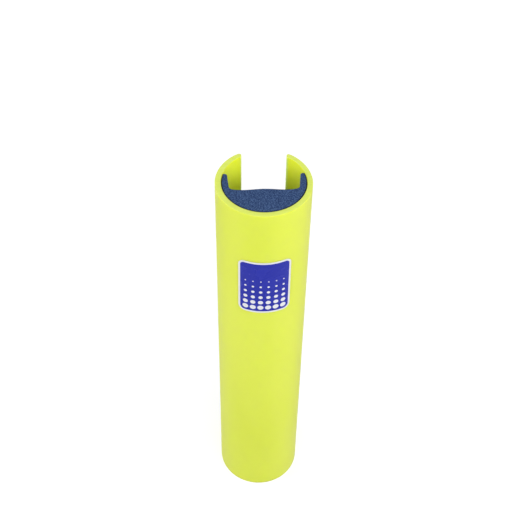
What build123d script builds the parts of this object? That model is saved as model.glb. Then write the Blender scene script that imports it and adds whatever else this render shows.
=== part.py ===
from build123d import *
import os
from math import asin, atan2, degrees, sin, sqrt

# Clip-on impact guard for the upright of a pallet rack.
# An open-backed plastic tube holds a foam insert, which grips the upright and softens the blow.
# Millimetres. The tube's axis is Z, the floor is Z = 0, the open back faces +Y and the traffic -Y.

# Shell: thick tube with a straight mouth cut along its back
guard_height = 600.0
shell_outer_radius = 59.5
shell_wall = 7.0
mouth_width = 56.0
lip_edge_radius = 2.0
end_edge_radius = 0.5

# Foam insert: thick pad behind the impact side, with an arm up each side of the upright
foam_clearance = 0.3
foam_end_setback = 0.3
column_face_setback = 12.3
arm_end_offset = 15.3
arm_root_thickness = 8.2
arm_tip_thickness = 4.7
pocket_corner_radius = 6.0
arm_tip_radius = 2.0

# Label: thin vinyl, bent round the impact side, just clear of the curved wall
label_arc_width = 70.0
label_height = 95.0
label_corner_radius = 9.0
label_film = 0.2
label_clearance = 0.3
label_drop = 81.0

# The most of a wall's thickness, or of an arm's reach, that one rounded corner may take
rounding_share = 0.45

os.makedirs("parts", exist_ok=True)


def circle_half_width(radius, offset):
    """Half the width of a circle round the axis, measured this far from its centre."""
    return sqrt(radius**2 - offset**2)


def rounding(radius, wall):
    """The radius for a corner of this wall, so that two corners never meet across it."""
    return min(radius, rounding_share * wall)


shell_inner_radius = shell_outer_radius - shell_wall

with BuildPart() as guard_shell:
    with BuildSketch() as shell_section:
        with BuildLine():
            mouth_half_width = mouth_width / 2
            outer_gap = degrees(asin(mouth_half_width / shell_outer_radius))
            inner_gap = degrees(asin(mouth_half_width / shell_inner_radius))
            outer_arc = CenterArc((0, 0), shell_outer_radius, 90 + outer_gap, 360 - 2 * outer_gap)
            inner_arc = CenterArc((0, 0), shell_inner_radius, 90 + inner_gap, 360 - 2 * inner_gap)
            Line(outer_arc @ 0, inner_arc @ 0)
            Line(outer_arc @ 1, inner_arc @ 1)
        make_face()
        fillet(shell_section.vertices(), rounding(lip_edge_radius, shell_wall))
    extrude(amount=guard_height)
    cut_ends = guard_shell.faces().filter_by(Axis.Z)
    fillet(cut_ends.edges(), rounding(end_edge_radius, shell_wall))

foam_radius = shell_inner_radius - foam_clearance
pocket_half_width = circle_half_width(foam_radius, column_face_setback) - arm_root_thickness
arm_reach = column_face_setback + arm_end_offset
arm_outer_x = circle_half_width(foam_radius, arm_end_offset)
arm_inner_x = arm_outer_x - arm_tip_thickness

with BuildPart() as foam_insert:
    with BuildSketch(Plane.XY.offset(foam_end_setback)) as foam_section:
        with BuildLine():
            tip_angle = degrees(atan2(arm_end_offset, arm_outer_x))
            wall_arc = CenterArc((0, 0), foam_radius, tip_angle, -180 - 2 * tip_angle)
            Polyline(
                wall_arc @ 1,
                (-arm_inner_x, arm_end_offset),
                (-pocket_half_width, -column_face_setback),
                (pocket_half_width, -column_face_setback),
                (arm_inner_x, arm_end_offset),
                wall_arc @ 0,
            )
        make_face()
        corners = foam_section.vertices().group_by(Axis.Y)
        fillet(corners[0], rounding(pocket_corner_radius, arm_reach))
        fillet(corners[-1], rounding(arm_tip_radius, arm_tip_thickness))
    extrude(amount=guard_height - 2 * foam_end_setback)

label_half_chord = shell_outer_radius * sin(label_arc_width / (2 * shell_outer_radius))
label_centre_z = guard_height - label_drop - label_height / 2
label_inner_radius = shell_outer_radius + label_clearance
label_outer_radius = label_inner_radius + label_film

with BuildPart() as front_label:
    with BuildSketch(Plane.XZ):
        with Locations((0, label_centre_z)):
            RectangleRounded(2 * label_half_chord, label_height, label_corner_radius)
    extrude(amount=label_outer_radius)
    with BuildSketch():
        Circle(label_outer_radius)
        Circle(label_inner_radius, mode=Mode.SUBTRACT)
    extrude(amount=guard_height, mode=Mode.INTERSECT)

guard_shell.part.label = "guard_shell"
foam_insert.part.label = "foam_insert"
front_label.part.label = "front_label"

export_step(guard_shell.part, "parts/guard_shell.step")
export_step(foam_insert.part, "parts/foam_insert.step")
export_step(front_label.part, "parts/front_label.step")
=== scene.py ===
import math

import bpy
import numpy as np
from mathutils import Matrix, Vector, noise
from mathutils.geometry import delaunay_2d_cdt


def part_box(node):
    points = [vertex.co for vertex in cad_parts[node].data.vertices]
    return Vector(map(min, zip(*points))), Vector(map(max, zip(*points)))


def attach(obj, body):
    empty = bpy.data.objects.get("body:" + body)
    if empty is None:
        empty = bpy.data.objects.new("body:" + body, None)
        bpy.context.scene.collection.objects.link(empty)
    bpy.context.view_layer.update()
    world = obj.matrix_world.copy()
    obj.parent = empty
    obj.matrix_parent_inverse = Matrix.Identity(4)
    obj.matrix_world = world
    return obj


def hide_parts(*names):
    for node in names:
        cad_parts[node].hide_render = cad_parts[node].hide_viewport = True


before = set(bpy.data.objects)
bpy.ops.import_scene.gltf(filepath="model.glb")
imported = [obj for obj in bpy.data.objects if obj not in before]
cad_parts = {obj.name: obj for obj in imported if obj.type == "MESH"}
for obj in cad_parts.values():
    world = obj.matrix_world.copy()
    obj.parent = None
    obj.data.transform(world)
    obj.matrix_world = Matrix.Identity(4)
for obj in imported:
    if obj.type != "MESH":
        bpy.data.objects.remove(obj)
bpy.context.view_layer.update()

# A clip-on impact guard for the upright of a pallet rack: yellow plastic tube, foam insert, printed label.
# Sizes are in millimetres and angles in degrees. The meshes are scaled to metres as they are made.
# The tube's axis is Z, the floor is Z = 0, the open back faces +Y and the traffic -Y.

MM = 0.001
BODY = "root"

# Shell, beyond what the frame gives
LIP_OUTER_RADIUS = 2.5
LIP_INNER_RADIUS = 5.0
LIP_LEAN = 0.8
LIP_LEAN_REACH = 10.0
END_EDGE_RADIUS = 0.2
SHELL_WAVE_HEIGHT = 0.15
SHELL_WAVE_LENGTH = 140.0
SHELL_WAVES_PER_RADIUS = 1.3
BORE_DRIFT = (0.4, 0.4)
SHELL_TURN = -0.8
OUTER_WALL, SAWN_EDGE, INNER_WALL, LIP = range(4)

# Foam insert, beyond what the frame gives
COLUMN_FACE_SETBACK = 12.3
ARM_ROOT_THICKNESS = 8.2
ARM_TIP_THICKNESS = 5.0
ARM_OUTER_EASE = 0.5
ARM_INNER_EASE = 3.0
POCKET_CORNER_EASE = 6.5
FOAM_EDGE_RADIUS = 1.2
FOAM_SOFTNESS = 0.5
POCKET_WAVE_HEIGHT = 0.85
POCKET_WAVE_LENGTH = 54.0
FOAM_TURN = 1.0
# The foam's outer face against the tube, to this depth, is painted near-black teal: painted shade for the
# dark gap between foam and tube
PAINTED_SHADE_DEPTH = 1.0
FOAM_PAINTED_SHADE, FOAM_CUT = range(2)

# Ripples in the foam's cut ends: height, cells a millimetre, and how one octave follows another
RIPPLE_HEIGHT = 0.25
RIPPLE_CELLS = 0.12
RIPPLE_FADE = 1.0
RIPPLE_RATIO = 2.0
RIPPLE_OCTAVES = 3

# Label, beyond what the frame gives
LABEL_CORNER_RADIUS = 9.0
LABEL_STANDOFF = 0.02
LABEL_THICKNESS = 0.25
LABEL_EDGE_RADIUS = 0.1
LABEL_TURN = 2.0
LABEL_BORDER = 2.8
DOT_PITCH = 10.0
DOT_COLUMNS = 6
DOT_ROWS = 6
LARGEST_DOT_RADIUS = 4.0
SMALLEST_DOT_RADIUS = 1.0
PRINT_EDGE = 0.12

# Meshes: rows along the guard, points along the outlines, and the nets of triangles that close the ends.
# A net stays clear of its outline by a share of its own spacing.
ROW_HEIGHT = 8.0
FOAM_STEP = 0.8
POCKET_WAVE_POINTS = 90
LABEL_STEP = 1.5
SHELL_NET = 2.4
FOAM_NET = 1.8
LABEL_NET = 3.0
NET_CLEARANCE = 0.6

# For delaunay_2d_cdt: only the triangles inside the outline, and points nearer than this are one
ONLY_INSIDE = 1
MERGE_DISTANCE = 1e-7

# How many spreads away a neighbour still counts, when an outline is softened
SOFTEN_REACH = 3

# Noise from 0 to 1 is nearly all between these
NOISE_RANGE = (0.3, 0.7)

# A Mix node's sockets for colours, which share their names with its sockets for numbers
MIX_LOW, MIX_HIGH, MIXED = 6, 7, 2

# Camera, fitted to the photograph's view of the guard
CAMERA_PLACE = (-8.2, -933.8, 1486.2)
CAMERA_TURN = -1.2
CAMERA_TILT = 47.5
CAMERA_ROLL = 0.8
CAMERA_LENS = 74.752
CAMERA_SENSOR = 36.0

# Studio, in metres. The floor's own glow rises from near the guard to where the lights fade.
FLOOR_SIZE = 12.0
FLOOR_GREY = (0.4, 0.4, 0.4, 1.0)
FLOOR_GLOW = 0.66
FAR_GLOW = 1.0
GLOW_RISE = (0.9, 2.4)
WORLD_LIGHT = 0.35
WHITE = (1.0, 1.0, 1.0, 1.0)

# Square lights, all at one distance from the point on the guard's axis at which they aim.
# Each has its degrees round to the right of the guard's front, its degrees up, and its power in watts.
SOFTBOX_SIZE = 2.4
SOFTBOX_DISTANCE = 3.6
SOFTBOX_AIM = 0.4
SOFTBOXES = {
    "front_softbox": (0, 35, 72),
    "right_softbox": (45, 35, 43),
    "right_side_softbox": (90, 23, 23.5),
    "left_side_softbox": (-90, 23, 59),
    "back_softbox": (180, 24, 22),
}


def linear(red, green, blue):
    """A colour given as it looks on screen, from 0 to 255, as the linear colour that a shader takes.
    The numbers are those of the sRGB standard."""
    shares = np.array((red, green, blue)) / 255
    return tuple(np.where(shares <= 0.04045, shares / 12.92, ((shares + 0.055) / 1.055) ** 2.4)) + (1.0,)


def node_points(name):
    """The points of one CAD node, in millimetres."""
    return np.array([v.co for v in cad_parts[name].data.vertices]) / MM


def unit(vectors):
    """The same vectors at length 1."""
    return vectors / np.linalg.norm(vectors, axis=1)[:, None]


def arc(centre, radius, start, end, steps):
    """Points along an arc from one angle to another, in degrees, both ends included."""
    angles = np.radians(np.linspace(start, end, steps + 1))
    return np.column_stack((centre[0] + radius * np.cos(angles), centre[1] + radius * np.sin(angles)))


def eased(before, corner, after, reach, steps=10):
    """A curve that takes a path round its corner, from this far before it to this far after it."""
    before, corner, after = (np.array(point, float) for point in (before, corner, after))
    start, end = (corner + reach * (p - corner) / np.linalg.norm(p - corner) for p in (before, after))
    t = np.linspace(0, 1, steps + 1)[:, None]
    return (1 - t) ** 2 * start + 2 * t * (1 - t) * corner + t**2 * end


def even_loop(points, spacing):
    """A closed loop with points at even steps of about this length."""
    closed = np.vstack((points, points[:1]))
    reach = np.concatenate(([0.0], np.cumsum(np.linalg.norm(np.diff(closed, axis=0), axis=1))))
    stops = np.linspace(0.0, reach[-1], round(reach[-1] / spacing) + 1)[:-1]
    return np.column_stack([np.interp(stops, reach, closed[:, axis]) for axis in (0, 1)])


def soften(loop, spacing, spread):
    """An even closed loop with its corners rounded, by a weighted mean of each point's neighbours."""
    reach = math.ceil(SOFTEN_REACH * spread / spacing)
    offsets = range(-reach, reach + 1)
    weights = np.array([math.exp(-0.5 * (k * spacing / spread) ** 2) for k in offsets])
    weights /= weights.sum()
    return sum(weight * np.roll(loop, k, axis=0) for weight, k in zip(weights, offsets))


def turned(loop, angle):
    """A loop turned round the axis by this many degrees, anticlockwise."""
    return loop @ np.array(Matrix.Rotation(math.radians(angle), 2)).T


def inset_loop(loop, inset):
    """A closed anticlockwise loop, moved inwards by this much at every point."""
    along = unit(np.roll(loop, -1, axis=0) - loop) + unit(loop - np.roll(loop, 1, axis=0))
    inwards = unit(np.column_stack((-along[:, 1], along[:, 0])))
    return loop + inset * inwards


def inside(points, loop):
    """Which points lie inside a closed loop, by counting its crossings to the right of each."""
    crossings = np.zeros(len(points), int)
    for (x0, y0), (x1, y1) in zip(loop, np.roll(loop, -1, axis=0)):
        if y0 == y1:
            continue
        spans = (y0 > points[:, 1]) != (y1 > points[:, 1])
        where = x0 + (points[:, 1] - y0) * (x1 - x0) / (y1 - y0)
        crossings += spans & (points[:, 0] < where)
    return crossings % 2 == 1


def net_points(loop, spacing):
    """Points of a triangular net inside a closed loop, clear of its edge."""
    low, high = loop.min(axis=0), loop.max(axis=0)
    row_height = spacing * math.sqrt(3) / 2
    rows = np.arange(low[1], high[1], row_height)
    columns = np.arange(low[0], high[0], spacing)
    net = np.array([(x + (i % 2) * spacing / 2, y) for i, y in enumerate(rows) for x in columns])
    net = net[inside(net, loop)]
    clearance = np.array([np.linalg.norm(loop - point, axis=1).min() for point in net])
    return net[clearance > NET_CLEARANCE * spacing]


def cap(loop, spacing):
    """The net points and the triangles that close a loop. Triangles count the loop's points first."""
    net = net_points(loop, spacing)
    points = [Vector(p) for p in (*loop, *net)]
    edges = [(i, (i + 1) % len(loop)) for i in range(len(loop))]
    _, _, faces, sources, _, _ = delaunay_2d_cdt(points, edges, [], ONLY_INSIDE, MERGE_DISTANCE)
    source = [min(found) for found in sources]
    return net, [tuple(source[i] for i in face) for face in faces]


def rippled(places, level, height):
    """The heights of these places in a cut end at this level, with ripples of about this height."""
    spots = [Vector((x, y, level)) * RIPPLE_CELLS for x, y in places]
    lift = [height * noise.fractal(spot, RIPPLE_FADE, RIPPLE_RATIO, RIPPLE_OCTAVES) for spot in spots]
    return level + np.array(lift)


def prism(loop, levels, spacing, ripple=0.0):
    """A closed solid that carries a loop through levels of (height, inset), from low to high.
    Returns its points, its faces and, for each face, whether it is in an end."""
    size = len(loop)
    rings = [np.column_stack((inset_loop(loop, inset), np.full(size, height))) for height, inset in levels]
    walls = [
        (k * size + i, k * size + (i + 1) % size, (k + 1) * size + (i + 1) % size, (k + 1) * size + i)
        for k in range(len(rings) - 1)
        for i in range(size)
    ]
    points = list(rings)
    faces = list(walls)
    total = size * len(rings)
    for first, ring, flip in ((0, rings[0], True), (total - size, rings[-1], False)):
        net, triangles = cap(ring[:, :2], spacing)
        points.append(np.column_stack((net, rippled(net, ring[0, 2], ripple))))
        places = [*range(first, first + size), *range(total, total + len(net))]
        total += len(net)
        faces += [tuple(places[i] for i in (t[::-1] if flip else t)) for t in triangles]
    is_end = np.arange(len(faces)) >= len(walls)
    return np.vstack(points), faces, is_end


def rounded_levels(bottom, top, radius, row, steps=4):
    """Levels of (height, inset) for a prism with rounded ends and rows at about this spacing."""
    turn = np.radians(np.linspace(0, 90, steps + 1))
    rise = radius * (1 - np.cos(turn))
    pull = radius * (1 - np.sin(turn))
    lower = [(bottom + z, inset) for z, inset in zip(rise, pull)]
    upper = [(top - z, inset) for z, inset in zip(rise[::-1], pull[::-1])]
    count = max(1, round((top - bottom - 2 * radius) / row))
    middle = np.linspace(bottom + radius, top - radius, count + 1)[1:-1]
    return lower + [(z, 0.0) for z in middle] + upper


def add_object(name, data):
    """An object in the scene that shows this mesh, light or camera."""
    made = bpy.data.objects.new(name, data)
    bpy.context.scene.collection.objects.link(made)
    return made


def add_piece(name, points, faces, materials, slots):
    """A smooth-shaded mesh object from points in millimetres. slots numbers each face's material."""
    mesh = bpy.data.meshes.new(name)
    mesh.from_pydata((points * MM).tolist(), [], faces)
    for material in materials:
        mesh.materials.append(material)
    mesh.polygons.foreach_set("material_index", np.asarray(slots, int))
    mesh.shade_smooth()
    piece = add_object(name, mesh)
    normals = piece.modifiers.new("even_shading", "WEIGHTED_NORMAL")
    normals.mode = "FACE_AREA"
    return piece


def waved(points):
    """The same points with the tube's walls a little out of round and off straight, as extrusions are."""
    around = unit(points[:, :2])
    spots = [
        Vector((SHELL_WAVES_PER_RADIUS * x, SHELL_WAVES_PER_RADIUS * y, z / SHELL_WAVE_LENGTH))
        for (x, y), z in zip(around, points[:, 2])
    ]
    swell = SHELL_WAVE_HEIGHT * np.array([noise.noise(spot) for spot in spots])
    moved = points.copy()
    moved[:, :2] += around * swell[:, None]
    return moved


def shell_loop(outer, inner, mouth_half_width):
    """The shell's C-shaped section, anticlockwise, and the kind of wall at each of its points."""
    outer_x = mouth_half_width + LIP_OUTER_RADIUS
    inner_x = mouth_half_width + LIP_INNER_RADIUS
    outer_y = math.sqrt((outer - LIP_OUTER_RADIUS) ** 2 - outer_x**2)
    inner_y = math.sqrt((inner + LIP_INNER_RADIUS) ** 2 - inner_x**2)
    outer_angle = math.degrees(math.atan2(outer_y, outer_x))
    inner_angle = math.degrees(math.atan2(inner_y, inner_x))
    right_lip = np.vstack((
        arc((outer_x, outer_y), LIP_OUTER_RADIUS, outer_angle, 180, steps=6),
        arc((inner_x, inner_y), LIP_INNER_RADIUS, 180, 180 + inner_angle, steps=8),
    ))
    left_lip = right_lip[::-1] * (-1, 1)
    outside = arc((0, 0), outer, 180 - outer_angle, 360 + outer_angle, steps=200)
    bore = arc((0, 0), inner, inner_angle, -180 - inner_angle, steps=180)
    stretches = (outside, right_lip[1:-1], bore, left_lip[1:-1])
    kinds = np.repeat((OUTER_WALL, LIP, INNER_WALL, LIP), [len(stretch) for stretch in stretches])
    loop = np.vstack(stretches)
    depth = (outer - np.hypot(loop[:, 0], loop[:, 1])) / (outer - inner)
    from_mouth = np.abs(loop[:, 0]) - mouth_half_width
    near_lip = np.clip(1 - from_mouth / LIP_LEAN_REACH, 0, 1) * (loop[:, 1] > 0)
    lean = LIP_LEAN * near_lip**2
    leaning = loop - lean[:, None] * (0, 1)
    return turned(leaning, SHELL_TURN) + depth[:, None] * BORE_DRIFT, kinds


def make_shell(*plastics):
    """The tube: open along its back, with rounded lips and eased ends."""
    points = node_points("guard_shell")
    radii = np.hypot(points[:, 0], points[:, 1])
    mouth_half_width = np.abs(points[points[:, 1] > 0, 0]).min()
    bottom, top = points[:, 2].min(), points[:, 2].max()
    loop, kinds = shell_loop(radii.max(), radii.min(), mouth_half_width)
    levels = rounded_levels(bottom, top, END_EDGE_RADIUS, row=ROW_HEIGHT)
    points, faces, is_end = prism(loop, levels, spacing=SHELL_NET)
    slots = np.append(np.tile(kinds, len(levels) - 1), np.full(is_end.sum(), SAWN_EDGE))
    piece = add_piece("tube_shell", waved(points), faces, plastics, slots)
    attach(piece, BODY)
    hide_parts("guard_shell")


def foam_loop(radius, arm_end_y):
    """The insert's section: an arc against the tube, two arms, and a floor that the knife left wavy."""
    tip_x = math.sqrt(radius**2 - arm_end_y**2)
    pocket_half_width = math.sqrt(radius**2 - COLUMN_FACE_SETBACK**2) - ARM_ROOT_THICKNESS
    wall_end = math.degrees(math.atan2(arm_end_y, tip_x) - ARM_OUTER_EASE / radius)
    wall = arc((0, 0), radius, 180 - wall_end, 360 + wall_end, steps=240)
    outer_tip = (tip_x, arm_end_y)
    inner_tip = (tip_x - ARM_TIP_THICKNESS, arm_end_y)
    root = (pocket_half_width, -COLUMN_FACE_SETBACK)
    right_arm = np.vstack((
        eased(wall[-1], outer_tip, inner_tip, ARM_OUTER_EASE)[1:],
        eased(outer_tip, inner_tip, root, ARM_INNER_EASE),
        eased(inner_tip, root, (0, -COLUMN_FACE_SETBACK), POCKET_CORNER_EASE),
    ))
    left_arm = right_arm[::-1] * (-1, 1)
    floor_x = np.linspace(right_arm[-1, 0], left_arm[0, 0], POCKET_WAVE_POINTS)[1:-1]
    floor_y = POCKET_WAVE_HEIGHT * np.cos(2 * math.pi * floor_x / POCKET_WAVE_LENGTH) - COLUMN_FACE_SETBACK
    outline = np.vstack((wall, right_arm, np.column_stack((floor_x, floor_y)), left_arm))
    return soften(even_loop(outline, FOAM_STEP), FOAM_STEP, FOAM_SOFTNESS)


def make_foam(painted_shade, cut):
    """The insert, with soft edges and a faintly uneven cut at each end. It sits a little askew."""
    points = node_points("foam_insert")
    radius = np.hypot(points[:, 0], points[:, 1]).max()
    bottom, top = points[:, 2].min(), points[:, 2].max()
    loop = foam_loop(radius, points[:, 1].max())
    # Painted shade: faces on the outer face against the tube take the near-black material, and the cut
    # faces keep the navy
    is_cut = np.hypot(loop[:, 0], loop[:, 1]) < radius - PAINTED_SHADE_DEPTH
    kinds = np.where(is_cut, FOAM_CUT, FOAM_PAINTED_SHADE)
    levels = rounded_levels(bottom, top, FOAM_EDGE_RADIUS, row=ROW_HEIGHT)
    askew = turned(loop, FOAM_TURN) + BORE_DRIFT
    points, faces, is_end = prism(askew, levels, spacing=FOAM_NET, ripple=RIPPLE_HEIGHT)
    slots = np.append(np.tile(kinds, len(levels) - 1), np.full(is_end.sum(), FOAM_CUT))
    piece = add_piece("foam_pad", points, faces, (painted_shade, cut), slots)
    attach(piece, BODY)
    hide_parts("foam_insert")


def make_label(wall_radius):
    """The label: a die-cut rounded rectangle of vinyl, stuck round the impact side a little askew."""
    points = node_points("front_label")
    outer = np.hypot(points[:, 0], points[:, 1]).max()
    half_width = outer * np.arctan2(np.abs(points[:, 0]), -points[:, 1]).max()
    low, high = points[:, 2].min(), points[:, 2].max()
    half_height = (high - low) / 2
    middle_z = (low + high) / 2
    x = half_width - LABEL_CORNER_RADIUS
    z = half_height - LABEL_CORNER_RADIUS
    corners = [
        arc(centre, LABEL_CORNER_RADIUS, start, start + 90, steps=12)
        for centre, start in (((x, z), 0), ((-x, z), 90), ((-x, -z), 180), ((x, -z), 270))
    ]
    loop = even_loop(np.vstack(corners), LABEL_STEP)
    levels = rounded_levels(LABEL_STANDOFF, LABEL_THICKNESS, LABEL_EDGE_RADIUS, row=LABEL_THICKNESS)
    flat, faces, _ = prism(loop, levels, spacing=LABEL_NET)
    angle = flat[:, 0] / outer + math.radians(LABEL_TURN)
    radius = wall_radius + flat[:, 2]
    bent = np.column_stack((radius * np.sin(angle), -radius * np.cos(angle), middle_z + flat[:, 1]))
    vinyl = printed_vinyl(outer, middle_z, half_width, half_height)
    piece = add_piece("label_sheet", waved(bent), faces, (vinyl,), np.zeros(len(faces)))
    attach(piece, BODY)
    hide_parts("front_label")


class Nodes:
    """The nodes of a material or a world, added one by one."""

    def __init__(self, owner):
        owner.use_nodes = True
        self.owner = owner
        self.tree = owner.node_tree
        self.tree.nodes.clear()

    def add(self, kind, inputs=None, **settings):
        """One node. An input is a value, or another node's output."""
        node = self.tree.nodes.new(kind)
        for key, value in settings.items():
            setattr(node, key, value)
        for socket, value in (inputs or {}).items():
            if isinstance(value, bpy.types.NodeSocket):
                self.tree.links.new(value, node.inputs[socket])
            else:
                node.inputs[socket].default_value = value
        return node

    def math(self, operation, *values):
        """The result of one operation on numbers."""
        return self.add("ShaderNodeMath", dict(enumerate(values)), operation=operation).outputs[0]

    def length(self, first, second):
        """The length of the line that goes this far along two axes."""
        squares = (self.math("MULTIPLY", part, part) for part in (first, second))
        return self.math("SQRT", self.math("ADD", *squares))

    def between(self, amount, low, high, low_at=0.0, high_at=1.0):
        """A number that goes from low to high as amount goes from low_at to high_at."""
        ends = {"From Min": low_at, "From Max": high_at, "To Min": low, "To Max": high}
        return self.add("ShaderNodeMapRange", {"Value": amount, **ends}).outputs[0]

    def mix(self, amount, low, high, low_at=0.0, high_at=1.0):
        """A colour that goes from low to high as amount goes from low_at to high_at."""
        share = self.between(amount, 0.0, 1.0, low_at, high_at)
        mixer = self.add("ShaderNodeMix", {0: share, MIX_LOW: low, MIX_HIGH: high}, data_type="RGBA")
        return mixer.outputs[MIXED]

    def seen(self):
        """1 to the camera, in reflections and through clear things, and 0 for the light on the guard."""
        path = self.add("ShaderNodeLightPath").outputs
        indirect = self.math("MAXIMUM", path["Is Glossy Ray"], path["Is Transmission Ray"])
        return self.math("MAXIMUM", path["Is Camera Ray"], indirect)


class Material(Nodes):
    """The nodes of a new material, whose textures stay with the object."""

    def __init__(self, name):
        super().__init__(bpy.data.materials.new(name))
        self.place = self.add("ShaderNodeTexCoord").outputs["Object"]

    def grain(self, per_metre, detail=2.0, stretch=(1, 1, 1), shift=(0, 0, 0)):
        """Smooth noise from 0 to 1 with this many cells a metre, each drawn out along the axes by stretch.
        shift is how far into the noise it starts, in metres."""
        moved = self.add("ShaderNodeVectorMath", {0: self.place, 1: shift}, operation="ADD").outputs[0]
        drawn = self.add("ShaderNodeVectorMath", {0: moved, 1: stretch}, operation="DIVIDE").outputs[0]
        inputs = {"Vector": drawn, "Scale": per_metre, "Detail": detail}
        return self.add("ShaderNodeTexNoise", inputs).outputs["Fac"]

    def cells(self, per_metre):
        """Distance from the middle of the nearest of this many cells a metre."""
        inputs = {"Vector": self.place, "Scale": per_metre}
        return self.add("ShaderNodeTexVoronoi", inputs).outputs["Distance"]

    def bump(self, height, depth, below=None):
        """A surface normal with this height map, depth in millimetres, on top of another."""
        inputs = {"Height": height, "Distance": depth * MM, "Strength": 1.0}
        if below is not None:
            inputs["Normal"] = below
        return self.add("ShaderNodeBump", inputs).outputs[0]

    def finish(self, **inputs):
        """Ends the material in one Principled shader."""
        named = {key.replace("_", " "): value for key, value in inputs.items()}
        shader = self.add("ShaderNodeBsdfPrincipled", named)
        self.add("ShaderNodeOutputMaterial", {"Surface": shader.outputs[0]})
        return self.owner


def polyethylene(m, colour, roughness, normal, glow):
    """Ends a material in the tube's plastic, which scatters this share of the light below its surface."""
    return m.finish(
        Base_Color=colour,
        Roughness=roughness,
        IOR=1.5,
        Specular_IOR_Level=0.03,
        Normal=normal,
        Subsurface_Weight=glow,
        Subsurface_Radius=(1.0, 1.0, 0.3),
        Subsurface_Scale=8 * MM,
    )


def extruded_plastic(name, dark, light):
    """Fluorescent plastic: satin, faintly cloudy, drawn out lengthwise by the extruder's die."""
    m = Material(name)
    cloud = m.grain(per_metre=9.0, detail=3.0, stretch=(1, 1, 3), shift=(0, 0, 0.3))
    streak = m.grain(per_metre=260.0, stretch=(1, 1, 60))
    peel = m.grain(per_metre=420.0)
    colour = m.mix(cloud, dark, light, *NOISE_RANGE)
    roughness = m.between(streak, 0.38, 0.48, *NOISE_RANGE)
    normal = m.bump(peel, depth=0.02, below=m.bump(streak, depth=0.03))
    return polyethylene(m, colour, roughness, normal, glow=1.0)


def sawn_plastic(dark, light):
    """The same plastic where it was sawn: a little less saturated, and rougher."""
    m = Material("sawn_polyethylene")
    marks = m.grain(per_metre=500.0, detail=3.0, stretch=(30, 1, 1))
    colour = m.mix(marks, dark, light, *NOISE_RANGE)
    roughness = m.between(marks, 0.45, 0.6, *NOISE_RANGE)
    return polyethylene(m, colour, roughness, m.bump(marks, depth=0.04), glow=0.4)


def closed_cell_foam(name, dark, light, speck):
    """Foam whose colour wanders between dark and light, with a fine speckle and small cells."""
    m = Material(name)
    speckle = m.grain(per_metre=620.0, detail=3.0)
    blotch = m.grain(per_metre=150.0)
    cell = m.cells(per_metre=1100.0)
    base = m.mix(blotch, dark, light, *NOISE_RANGE)
    return m.finish(
        Base_Color=m.mix(speckle, base, speck, low_at=0.4, high_at=0.66),
        Roughness=m.between(speckle, 0.95, 0.85),
        IOR=1.4,
        Specular_IOR_Level=0.3,
        Normal=m.bump(cell, depth=0.25),
    )


def label_field(m, across, up, half_width, half_height):
    """1 on the label's field and 0 on its border, at places measured from its middle."""
    past_x, past_z = (
        m.math("MAXIMUM", m.math("SUBTRACT", m.math("ABSOLUTE", part), half - LABEL_CORNER_RADIUS), 0.0)
        for part, half in ((across, half_width), (up, half_height))
    )
    field_edge = LABEL_CORNER_RADIUS - LABEL_BORDER
    return m.between(m.length(past_x, past_z), 1.0, 0.0, field_edge, field_edge + PRINT_EDGE)


def label_dots(m, across, up, half_width, half_height):
    """1 on the label's dots, which grow row by row towards the foot, and 0 between them.
    The margin below them is the same as the one at each side."""
    side_margin = half_width - DOT_COLUMNS * DOT_PITCH / 2
    column = m.math("DIVIDE", across, DOT_PITCH)
    row = m.math("DIVIDE", m.math("SUBTRACT", up, side_margin - half_height), DOT_PITCH)
    off_x = m.math("SUBTRACT", m.math("FRACT", m.math("ADD", column, DOT_COLUMNS / 2)), 0.5)
    off_z = m.math("SUBTRACT", m.math("FRACT", row), 0.5)
    from_dot = m.math("MULTIPLY", m.length(off_x, off_z), DOT_PITCH)
    row_number = m.math("FLOOR", row)
    dot_radius = m.between(row_number, LARGEST_DOT_RADIUS, SMALLEST_DOT_RADIUS, 0.0, DOT_ROWS - 1)
    dot = m.between(m.math("SUBTRACT", dot_radius, from_dot), 0.0, 1.0, 0.0, PRINT_EDGE)
    in_columns = m.math("LESS_THAN", m.math("ABSOLUTE", column), DOT_COLUMNS / 2)
    from_middle_row = m.math("SUBTRACT", row, DOT_ROWS / 2)
    in_rows = m.math("LESS_THAN", m.math("ABSOLUTE", from_middle_row), DOT_ROWS / 2)
    return m.math("MULTIPLY", dot, m.math("MULTIPLY", in_columns, in_rows))


def printed_vinyl(radius, middle_z, half_width, half_height):
    """Glossy vinyl, bent round the tube: a white border and white dots on a blue field."""
    m = Material("printed_vinyl")
    place = m.add("ShaderNodeSeparateXYZ", {0: m.place}).outputs
    angle = m.math("ARCTAN2", place["X"], m.math("MULTIPLY", place["Y"], -1.0))
    across = m.math("MULTIPLY", m.math("SUBTRACT", angle, math.radians(LABEL_TURN)), radius)
    up = m.math("SUBTRACT", m.math("DIVIDE", place["Z"], MM), middle_z)
    field = label_field(m, across, up, half_width, half_height)
    dots = label_dots(m, across, up, half_width, half_height)
    inked = m.math("MULTIPLY", field, m.math("SUBTRACT", 1.0, dots))

    mottle = m.grain(per_metre=60.0, detail=3.0)
    peel = m.grain(per_metre=500.0, detail=1.0)
    blue = m.mix(mottle, linear(32, 41, 158), linear(37, 46, 164), *NOISE_RANGE)
    white = linear(226, 226, 231)
    return m.finish(
        Base_Color=m.mix(inked, white, blue),
        Roughness=m.between(mottle, 0.24, 0.3, *NOISE_RANGE),
        IOR=1.5,
        Specular_IOR_Level=0.16,
        Normal=m.bump(peel, depth=0.01),
    )


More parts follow.
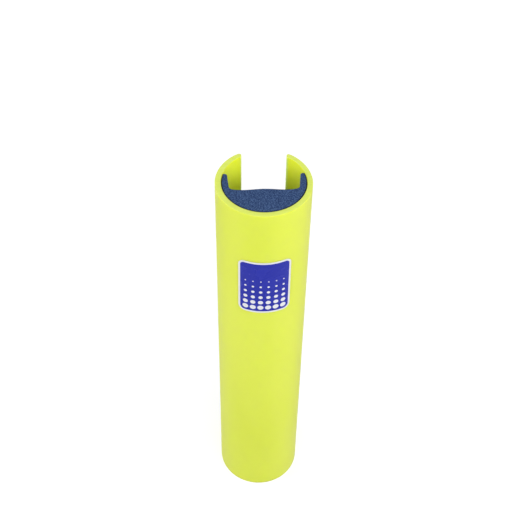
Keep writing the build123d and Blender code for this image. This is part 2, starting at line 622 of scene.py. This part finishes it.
def floor_white():
    """Pale paint with a glow that the camera sees as white, apart from the guard's own soft shadow."""
    m = Material("floor_white")
    place = m.add("ShaderNodeSeparateXYZ", {0: m.place}).outputs
    level = m.between(m.length(place["X"], place["Y"]), FLOOR_GLOW, FAR_GLOW, *GLOW_RISE)
    strength = m.math("MULTIPLY", m.seen(), level)
    pale = m.add("ShaderNodeBsdfDiffuse", {"Color": FLOOR_GREY}).outputs[0]
    glow = m.add("ShaderNodeEmission", {"Color": WHITE, "Strength": strength}).outputs[0]
    both = m.add("ShaderNodeAddShader", {0: pale, 1: glow}).outputs[0]
    m.add("ShaderNodeOutputMaterial", {"Surface": both})
    return m.owner


def make_floor():
    """A plain square floor round the guard."""
    reach = FLOOR_SIZE / 2
    corners = [(reach * x, reach * y, 0.0) for x, y in ((-1, -1), (1, -1), (1, 1), (-1, 1))]
    mesh = bpy.data.meshes.new("floor")
    mesh.from_pydata(corners, [], [(0, 1, 2, 3)])
    mesh.materials.append(floor_white())
    floor = add_object("floor", mesh)


def make_world():
    """White all round to the camera and in reflections, and a plain level of light on the guard."""
    world = bpy.data.worlds.new("studio")
    bpy.context.scene.world = world
    nodes = Nodes(world)
    level = nodes.between(nodes.seen(), WORLD_LIGHT, 1.0)
    shade = nodes.add("ShaderNodeBackground", {"Color": WHITE, "Strength": level})
    nodes.add("ShaderNodeOutputWorld", {"Surface": shade.outputs[0]})


def add_softbox(name, turn, rise, power):
    """A square light that faces the guard, this many degrees round to the right of its front, and up."""
    lamp = bpy.data.lights.new(name, "AREA")
    lamp.shape = "SQUARE"
    lamp.size = SOFTBOX_SIZE
    lamp.energy = power
    box = add_object(name, lamp)
    swing = Matrix.Rotation(math.radians(turn), 3, "Z") @ Matrix.Rotation(math.radians(-rise), 3, "X")
    away = swing @ Vector((0, -SOFTBOX_DISTANCE, 0))
    box.location = Vector((0, 0, SOFTBOX_AIM)) + away
    box.rotation_euler = away.to_track_quat("Z", "Y").to_euler()


def add_camera():
    """The camera at the photograph's place, which looks down on the guard from the front."""
    lens = bpy.data.cameras.new("camera")
    lens.lens = CAMERA_LENS
    lens.sensor_width = CAMERA_SENSOR
    camera = add_object("camera", lens)
    turn = Matrix.Rotation(math.radians(CAMERA_TURN), 4, "Z")
    tilt = Matrix.Rotation(math.radians(90 - CAMERA_TILT), 4, "X")
    roll = Matrix.Rotation(math.radians(CAMERA_ROLL), 4, "Z")
    camera.matrix_world = turn @ Matrix.Translation(Vector(CAMERA_PLACE) * MM) @ tilt @ roll
    bpy.context.scene.camera = camera


bpy.context.scene.view_settings.view_transform = "Standard"

# The plastics and foams are in the order of the numbers that name the kinds of wall
make_shell(
    extruded_plastic("outer_polyethylene", dark=linear(219, 231, 85), light=linear(227, 238, 97)),
    sawn_plastic(dark=linear(211, 225, 99), light=linear(217, 231, 111)),
    # Inner walls: the same plastic painted lighter and more saturated, as painted bounce light from the
    # yellow walls that face them
    extruded_plastic("inner_polyethylene_painted_bounce", dark=linear(227, 238, 62), light=linear(233, 244, 70)),
    # Rounded lips: the same plastic painted lighter and greener, as a painted highlight where the lip edge
    # catches light
    extruded_plastic("lip_polyethylene_painted_highlight", dark=linear(216, 239, 92), light=linear(223, 245, 102)),
)
make_foam(
    # The first foam is painted shade: near-black teal for the shadowed gap against the tube, tinted by the
    # yellow wall
    closed_cell_foam("navy_foam_painted_gap_shade", linear(8, 22, 26), linear(11, 27, 30), linear(24, 40, 46)),
    closed_cell_foam("navy_foam", linear(25, 46, 85), linear(31, 54, 94), linear(69, 95, 138)),
)
make_label(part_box("guard_shell")[1].x / MM)
make_floor()
make_world()
for softbox, setting in SOFTBOXES.items():
    add_softbox(softbox, *setting)
add_camera()
